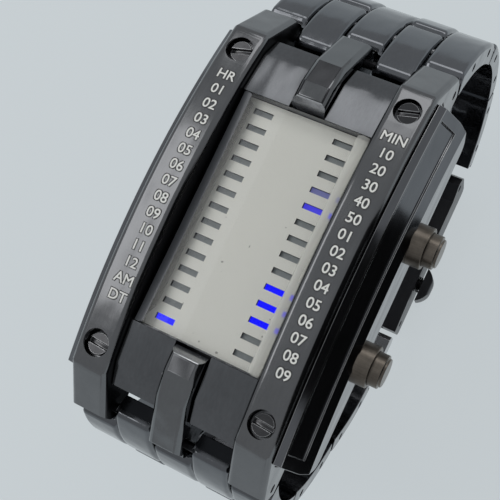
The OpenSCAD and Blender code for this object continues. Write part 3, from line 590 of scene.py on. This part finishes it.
# %% [markdown]
# One row of two links and one of three could be modelled and copied round the wrist. Each row's
# solid already lies at its own angle, though, so every row is worked on where it lies. The links
# below the case lie in its shade, so they get a darker steel as painted shade, and all get the
# rubbed steel with its painted highlight at their edges.

# %% Make every row of links
def link_row(side, k, steel):
    node = f"{side}_row_{k}"
    first, second = pins_of_row(side, k)
    along, out = directions_of_row(first, second)
    bm = merged_copy(node)
    reach = [(v.co - first).dot(along) for v in bm.verts]
    low, high = min(reach), max(reach)
    cut_near_edges(bm, first, along, low, high)
    pillow(bm, first, along, out, low, high)
    # The links' rounded edges get the rubbed steel with its painted highlight.
    round_edges(bm, 0.10 * MM, segments=2, limit=40, worn_highlight=1)
    finish_node(f"{side}_links_{k}", bm, node, [steel, WORN_EDGE_HIGHLIGHT_STEEL])


# The lower links get the darker steel as painted shade.
for side, steel in (("upper", LINK_STEEL), ("lower", SHADED_LOWER_LINK_STEEL)):
    for k in range(1, ROWS + 1):
        link_row(side, k, steel)

# %% [markdown]
# The clasp's cover is bent from sheet steel and plated dull, and its folding blades are bare
# steel. The push buttons are turned, then brushed along their length, and their flat ends are
# brighter. They could be spun again from their outlines, but their solids have the right shapes,
# and rounding is all that they need.

# %% Clasp and buttons
CAP_FACE_FROM = 17 * MM


def end_face(place, normal):
    return place.x > CAP_FACE_FROM and normal.x > 0.9


CAP = {"others": [BUTTON_FACE], "where": end_face}
soften("clasp_cover", "clasp_shell", CLASP_STEEL, 0.2 * MM)
soften("fold_blade", "clasp_blade_under", BLADE_STEEL, 0.08 * MM)
soften("strap_blade", "clasp_blade_over", BLADE_STEEL, 0.08 * MM)
soften("clasp_button_left", "clasp_knob_left", CLASP_STEEL, 0.1 * MM)
soften("clasp_button_right", "clasp_knob_right", CLASP_STEEL, 0.1 * MM)
soften("pusher_tubes", "button_collars", BUTTON_STEEL, 0.12 * MM)
soften("pusher_upper", "button_upper", BUTTON_STEEL, 0.12 * MM, **CAP)
soften("pusher_lower", "button_lower", BUTTON_STEEL, 0.12 * MM, **CAP)

# %% [markdown]
# Behind each button sits a coil spring. It can't follow its button as a stiff piece would, and
# winding it anew for each pose would be slow. How much of its length it would keep when its button
# travels is worked out and printed, but the spring keeps its shape.

# %% Springs behind the buttons
slide_range = {j["name"]: j["range_m"][1] for j in behaviour["joints"] if "range_m" in j}


def button_spring(node, joint, inner_side, material):
    """Copy a spring, find its inner end, at its low x (-1) or its high x (1), and print how much of
    its length it would keep.
    """
    low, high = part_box(node)
    spring = finish_node(f"{node}_coil", merged_copy(node), node, [material])
    fixed_end = (low + high) / 2
    fixed_end.x = low.x if inner_side < 0 else high.x
    keep = 1 - slide_range[joint] / (high.x - low.x)
    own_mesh(spring)
    print(node, "keeps", round(keep, 2), "of its length")


button_spring("pusher_spring_upper", "push_upper_press", -1, BRIGHT_STEEL)
button_spring("pusher_spring_lower", "push_lower_press", -1, BRIGHT_STEEL)
# The clasp's springs get the nearly black steel as painted shade.
button_spring("button_spring_right", "clasp_press_right", -1, PAINTED_SHADE_STEEL)
button_spring("button_spring_left", "clasp_press_left", 1, PAINTED_SHADE_STEEL)

# %% [markdown]
# The glass is ground from one flat piece. Its top and underside are clear. The upright edges
# sit in the dark ledge and the left bevel looks past the print into the gap, so they are painted
# dark, as shade, and the right bevel is painted with the print's cream. It could be built from
# three pieces, but one copy of the solid whose faces are sorted by the way they look has no seams.

# %% Glass piece
bm = merged_copy("glass")
bm.normal_update()
for face in bm.faces:
    # Upright edges and the left bevel get the painted dark, the right bevel the painted cream.
    if abs(face.normal.z) < 0.3 or face.normal.x < -0.3:
        face.material_index = 2
    else:
        face.material_index = 1 if face.normal.x > 0.3 else 0
finish_node("watch_glass", bm, "glass", GLASSES)

# %% [markdown]
# The print is a thin sheet on the glass's underside. Its windows go deeper than the sheet, and
# their walls are painted nearly black as shade, so each window has a dark edge on the side away
# from the camera. The sheet keeps its solid's own triangles, because one face with 28 holes
# shades badly.

# %% Print with its windows
WINDOW_DEPTH = 0.5 * MM
BORDER = 0.05 * MM
mask_low, mask_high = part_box("window_mask")
bm = merged_copy("window_mask", whole_faces=False)
bm.normal_update()
for face in bm.faces:
    # Upright faces are the windows' walls, and they get the painted shade.
    face.material_index = 0 if abs(face.normal.z) > 0.5 else 1
for v in bm.verts:
    to_border = min(mask_high.x - abs(v.co.x), (mask_high - v.co).y, (v.co - mask_low).y)
    if v.co.z < (mask_low.z + mask_high.z) / 2 and to_border >= BORDER:
        v.co.z = mask_high.z - WINDOW_DEPTH
sheet = finish_node("dial_sheet", bm, "window_mask", [DIAL, WINDOW_WALL_SHADE])
for face in sheet.data.polygons:
    face.use_smooth = False

# %% [markdown]
# The light bars are small blocks of plastic that glow when their number is meant. Most are dark
# and show as grey windows, and six shine blue. A lamp in each would light the windows' walls
# too, but the real ones are weak, so glowing plastic without a gloss is nearer.

# %% Finishes of the light bars
def light_bar_finish(name, low, high, glow=None, power=0):
    f = Finish(name)
    cloud = f.noise(1400, (1, 1, 1), 2.0, 0.5)
    sockets = {"Base Color": f.blend(cloud, low, high), "Roughness": 0.35}
    if glow:
        sockets["Specular IOR Level"] = 0.0
        sockets["Emission Color"] = (*glow, 1)
        sockets["Emission Strength"] = power
    return f.done(f.add("BsdfPrincipled", None, sockets))


GREY = ((0.26, 0.29, 0.29), (0.36, 0.39, 0.39))
BLUE = ((0.0, 0.0, 0.3), (0.004, 0.004, 0.4))
PALE_BLUE = ((0.06, 0.06, 0.3), (0.1, 0.1, 0.4))
GREY_BLUE = ((0.2, 0.22, 0.3), (0.25, 0.27, 0.35))
LIGHTS = [
    light_bar_finish("unlit bar", *GREY),
    light_bar_finish("lit bar", *BLUE, glow=(0.0, 0.0, 1.0), power=1.0),
    light_bar_finish("half lit bar", *PALE_BLUE, glow=(0.04, 0.03, 0.70), power=0.8),
    light_bar_finish("faintly lit bar", *GREY_BLUE, glow=(0.10, 0.10, 0.35), power=0.5),
]
OFF, LIT, DIM, FAINT = range(len(LIGHTS))
print("light bar finishes:", len(LIGHTS))

# %% [markdown]
# All the bars are one piece, because they share the board and never move by themselves. The
# glass's right bevel bends a second, smaller image of a lit bar towards the eye, and a small
# glowing patch under the bevel stands for it.

# %% Light bars
SLOT_PITCH = 2 * MM
SLOT_X = 5.05 * MM
SLOTS = 14
BAR_SIZE = Vector((2.4, 0.7, 0.4)) * MM
BAR_DROP = WINDOW_DEPTH + 0.18 * MM
GLOWING = {(-1, 13): LIT, (1, 4): DIM, (1, 3): FAINT, (1, 9): LIT, (1, 10): LIT, (1, 11): LIT}
IMAGE_X = 7.35 * MM
IMAGE_SIZE = Vector((0.6, 0.6, 0.02)) * MM
IMAGE_LIFT = 0.03 * MM
IMAGES = {3: FAINT, 4: DIM, 9: DIM, 10: DIM, 11: DIM}


def add_block(bm, size, x, slot, z, state):
    """One small block in line with a window, counted from the top."""
    y = GLASS_CENTRE.y + ((SLOTS - 1) / 2 - slot) * SLOT_PITCH
    made = bmesh.ops.create_cube(bm, size=1)["verts"]
    bmesh.ops.scale(bm, vec=size, verts=made)
    bmesh.ops.translate(bm, vec=(x, y, z), verts=made)
    for face in {f for v in made for f in v.link_faces}:
        face.material_index = state


bm = bmesh.new()
for side in (-1, 1):
    for slot in range(SLOTS):
        state = GLOWING.get((side, slot), OFF)
        add_block(bm, BAR_SIZE, side * SLOT_X, slot, mask_high.z - BAR_DROP, state)
for slot, state in IMAGES.items():
    add_block(bm, IMAGE_SIZE, IMAGE_X, slot, mask_high.z + IMAGE_LIFT, state)
finish_node("light_bars", bm, "light_emitters", LIGHTS)

# %% [markdown]
# The side bars carry engraved and filled numbers in line with the windows: plain hours, minutes
# and short legends. Cutting them into the bars would need a very fine mesh, so they are set in a
# thin plain type, turned into mesh, and laid on the bar's long arch one by one. The same words,
# a little wider and nearly black, lie under the pale ones as painted shade along the engraving's
# edge.

# %% Words as mesh
LETTER_HEIGHT = 1.7 * MM
LETTER_DEPTH = 0.003 * MM
HOURS = ["HR"] + [f"{n:02d}" for n in range(1, 13)] + ["AM", "DT"]
MINUTES = ["MIN"] + [f"{n}" for n in (10, 20, 30, 40, 50)] + [f"{n:02d}" for n in range(1, 10)]


def words_mesh(words):
    curve = bpy.data.curves.new(words, "FONT")
    curve.body = words
    curve.size = LETTER_HEIGHT
    curve.align_x = "CENTER"
    curve.align_y = "CENTER"
    curve.resolution_u = 4
    curve.extrude = LETTER_DEPTH
    carrier = bpy.data.objects.new(words, curve)
    bpy.context.scene.collection.objects.link(carrier)
    shape = bpy.data.meshes.new_from_object(carrier)
    bpy.data.objects.remove(carrier)
    return shape


print("labels:", len(HOURS), "on the left and", len(MINUTES), "on the right")

# %% [markdown]
# Each word is tilted to the arch where it stands, and its points are then let down where the
# bar's top rounds off towards its sides. A thicker type would need an offset on the curve,
# which spoils some letters, so four copies are moved a little to the four corners instead.

# %% Lay the words on the side bars
ARCH_R = 75 * MM
BAR_TOP = 2.4 * MM
SHOULDER = 0.8 * MM
RAIL_SPAN = (8.2 * MM, 12.9 * MM)
FIRST_LABEL_Y = 15 * MM
COPY_STEP = 0.002 * MM
CORNERS = ((-1, -1), (1, -1), (-1, 1), (1, 1))


def arch_drop(y):
    """How far the top of a side bar lies below its middle."""
    return ARCH_R - sqrt(ARCH_R * ARCH_R - y * y)


def lay_word(bm, words, x, y, swell, lift):
    """Lay four copies of a word on the arch, each moved to one corner by the swell."""
    tilt = Matrix.Rotation(-y / ARCH_R, 4, "X")
    middle = GLASS_CENTRE + Vector((x, y, BAR_TOP - arch_drop(y) + lift))
    shape = words_mesh(words)
    for step, (right, up) in enumerate(CORNERS):
        move = Vector((right * swell, up * swell, step * COPY_STEP))
        start = len(bm.verts)
        bm.from_mesh(shape)
        bm.verts.ensure_lookup_table()
        matrix = Matrix.Translation(middle) @ tilt @ Matrix.Translation(move)
        bmesh.ops.transform(bm, matrix=matrix, verts=bm.verts[start:])


def legends(name, x, labels, swell, lift, material):
    """A column of words in line with the windows, made wider by the swell."""
    bm = bmesh.new()
    for i, words in enumerate(labels):
        lay_word(bm, words, x, FIRST_LABEL_Y - i * SLOT_PITCH, swell, lift)
    for v in bm.verts:
        edge = min(abs(v.co.x) - RAIL_SPAN[0], RAIL_SPAN[1] - abs(v.co.x))
        inward = max(0, SHOULDER - edge)
        v.co.z -= SHOULDER - sqrt(SHOULDER * SHOULDER - inward * inward)
    finish_object(name, bm, "head", [], [material])


print("the arch falls", round(arch_drop(FIRST_LABEL_Y) / MM, 2), "mm as far as the first word")

# %% [markdown]
# The filling is a pale paint that is never quite even, so it gets a fine grain. It could be
# printed flat on the bar, but two faces in one place flicker. So the dark words, which are painted
# shade, lie a few thousandths of a millimetre over the bar and the pale ones just over them.

# %% Numbers and their painted shade edges
def number_paint():
    f = Finish("legend paint")
    fine = f.noise(3000, (1, 1, 1), 2.0, 0.5)
    tint = f.blend(fine, (0.84, 0.83, 0.79), (0.92, 0.91, 0.87))
    return f.done(f.add("BsdfPrincipled", None, {"Base Color": tint, "Roughness": 0.5}))


PAINT = number_paint()
# Nearly black: painted shade along the edge of the engraving.
ENGRAVING_SHADE_PAINT = plain("painted shade in the engraving", (0.012, 0.012, 0.013), (0.02, 0.02, 0.021), 0.6)
FILLING = {"swell": 0.020 * MM, "lift": 0.018 * MM, "material": PAINT}
ENGRAVING_SHADE_EDGE = {"swell": 0.11 * MM, "lift": 0.004 * MM, "material": ENGRAVING_SHADE_PAINT}
for side, x, labels in (("left", -10.2 * MM, HOURS), ("right", 10.7 * MM, MINUTES)):
    legends(f"numbers_{side}", x, labels, **FILLING)
    legends(f"number_shade_edges_{side}", x, labels, **ENGRAVING_SHADE_EDGE)

# %% [markdown]
# The board, the battery, the seals, pins and clips lie inside the watch or between its links.
# They could be copied and rounded like the rest, but their edges are too small to be seen, so
# the solids themselves stay and only get a material.

# %% Materials for the solids that stay
LINK_PINS = [f"{side}_pins_{k}" for side in ("upper", "lower") for k in (2, 4, 6)]
OTHER_PINS = ["cover_pins", "blade_pin", "spring_bar", "pusher_clip_upper", "pusher_clip_lower"]
KEPT = {
    RUBBER: ["glass_gasket", "back_gasket", "pusher_seals"],
    BOARD: ["circuit_board", "board_parts"],
    NYLON: ["module_frame"],
    BRASS: ["cell_contact", "switch_blades"],
    BRIGHT_STEEL: ["coin_cell"] + OTHER_PINS + LINK_PINS,
    # The lug pins get the nearly black steel as painted shade.
    PAINTED_SHADE_STEEL: ["lug_pins"],
}
for material, names in KEPT.items():
    for node in names:
        data = frame["nodes"][node].data
        data.materials.clear()
        data.materials.append(material)
print("solids that stay:", sum(len(names) for names in KEPT.values()))

# %% [markdown]
# The watch stands on a pale floor. Lamps strong enough to make a grey floor look that pale would
# burn out the steel, so the floor shows part of its own even colour to the camera and in
# reflections, and the rest of it is lit and keeps the watch's shadow.

# %% Floor
FLOOR_SIZE = 1.5
EVEN_SHARE = 0.75


def pale_floor():
    f = Finish("floor")
    soft = f.noise(6, (1, 1, 1), 2.0, 0.5)
    tint = f.blend(soft, (0.56, 0.61, 0.63), (0.60, 0.645, 0.665))
    lit = f.add("BsdfPrincipled", None, {"Base Color": tint, "Roughness": 0.8})
    even = f.add("Emission", None, {"Color": (0.64, 0.69, 0.715, 1)})
    seen = f.add("LightPath", out="Is Camera Ray") + f.add("LightPath", out="Is Glossy Ray")
    seen = seen + f.add("LightPath", out="Is Transmission Ray")
    share = f.add("Math", {"operation": "MULTIPLY", "use_clamp": True}, {0: seen, 1: EVEN_SHARE})
    return f.done(f.add("MixShader", None, {"Fac": share, 1: lit, 2: even}))


def studio_piece(name, bm, material):
    """A floor or card of the studio, which isn't part of the watch."""
    mesh = bpy.data.meshes.new(name)
    bm.to_mesh(mesh)
    bm.free()
    mesh.materials.append(material)
    piece = bpy.data.objects.new(name, mesh)
    bpy.context.scene.collection.objects.link(piece)
    return piece


bm = bmesh.new()
bmesh.ops.create_grid(bm, x_segments=1, y_segments=1, size=FLOOR_SIZE)
floor = studio_piece("floor", bm, pale_floor())
print("floor:", round(floor.dimensions.x, 2), "m wide")

# %% [markdown]
# Polished metal shows the room more than its own colour, so the room is kept plain: an even pale
# sky, as in a light tent, and two large soft lamps for the tent's lit walls on the left and
# behind. The side towards the camera has no lamp, which gives the steel its dark parts.

# %% Sky and lamps
world = bpy.data.worlds.new("sky")
bpy.context.scene.world = world
world.use_nodes = True
background = world.node_tree.nodes["Background"]
background.inputs["Color"].default_value = (0.93, 0.97, 1.0, 1)
background.inputs["Strength"].default_value = 0.45
WATCH_MIDDLE = Vector((0, 0, 50)) * MM


def lamp(name, place, size, power):
    data = bpy.data.lights.new(name, "AREA")
    data.shape = "RECTANGLE"
    data.size, data.size_y = size
    data.energy = power
    lamp_object = bpy.data.objects.new(name, data)
    lamp_object.location = place
    aim = WATCH_MIDDLE - Vector(place)
    lamp_object.rotation_euler = aim.to_track_quat("-Z", "Y").to_euler()
    bpy.context.scene.collection.objects.link(lamp_object)


lamp("left wall", (-0.30, -0.01, 0.50), (0.45, 0.25), 0.56)
lamp("back wall", (0.02, 0.46, 0.42), (0.50, 0.22), 0.45)
print("lamps:", len(bpy.data.lights))

# %% [markdown]
# The right side cover is nearly black in its middle, because it mirrors something dark beside
# the watch. Blacker steel would be wrong in other light, so a dark card stands there, as in a
# photographer's studio. Only reflections see it: it neither shows nor throws a shadow.

# %% A dark card for the covers to mirror
CARD_HEIGHT = 120 * MM
CARD_WIDTH = 60 * MM
CARD_PLACE = Vector((60, -21, 61)) * MM
bm = bmesh.new()
bmesh.ops.create_grid(bm, x_segments=1, y_segments=1, size=0.5)
bmesh.ops.scale(bm, vec=(CARD_HEIGHT, CARD_WIDTH, 1), verts=bm.verts)
bmesh.ops.rotate(bm, matrix=Matrix.Rotation(radians(90), 3, "Y"), verts=bm.verts)
bmesh.ops.translate(bm, vec=CARD_PLACE, verts=bm.verts)
card = studio_piece("card", bm, plain("card", (0.006, 0.006, 0.006), (0.01, 0.01, 0.01), 0.9, 50))
card.visible_camera = False
card.visible_diffuse = False
card.visible_shadow = False
print("card stands", round(CARD_PLACE.x / MM), "mm to the right")
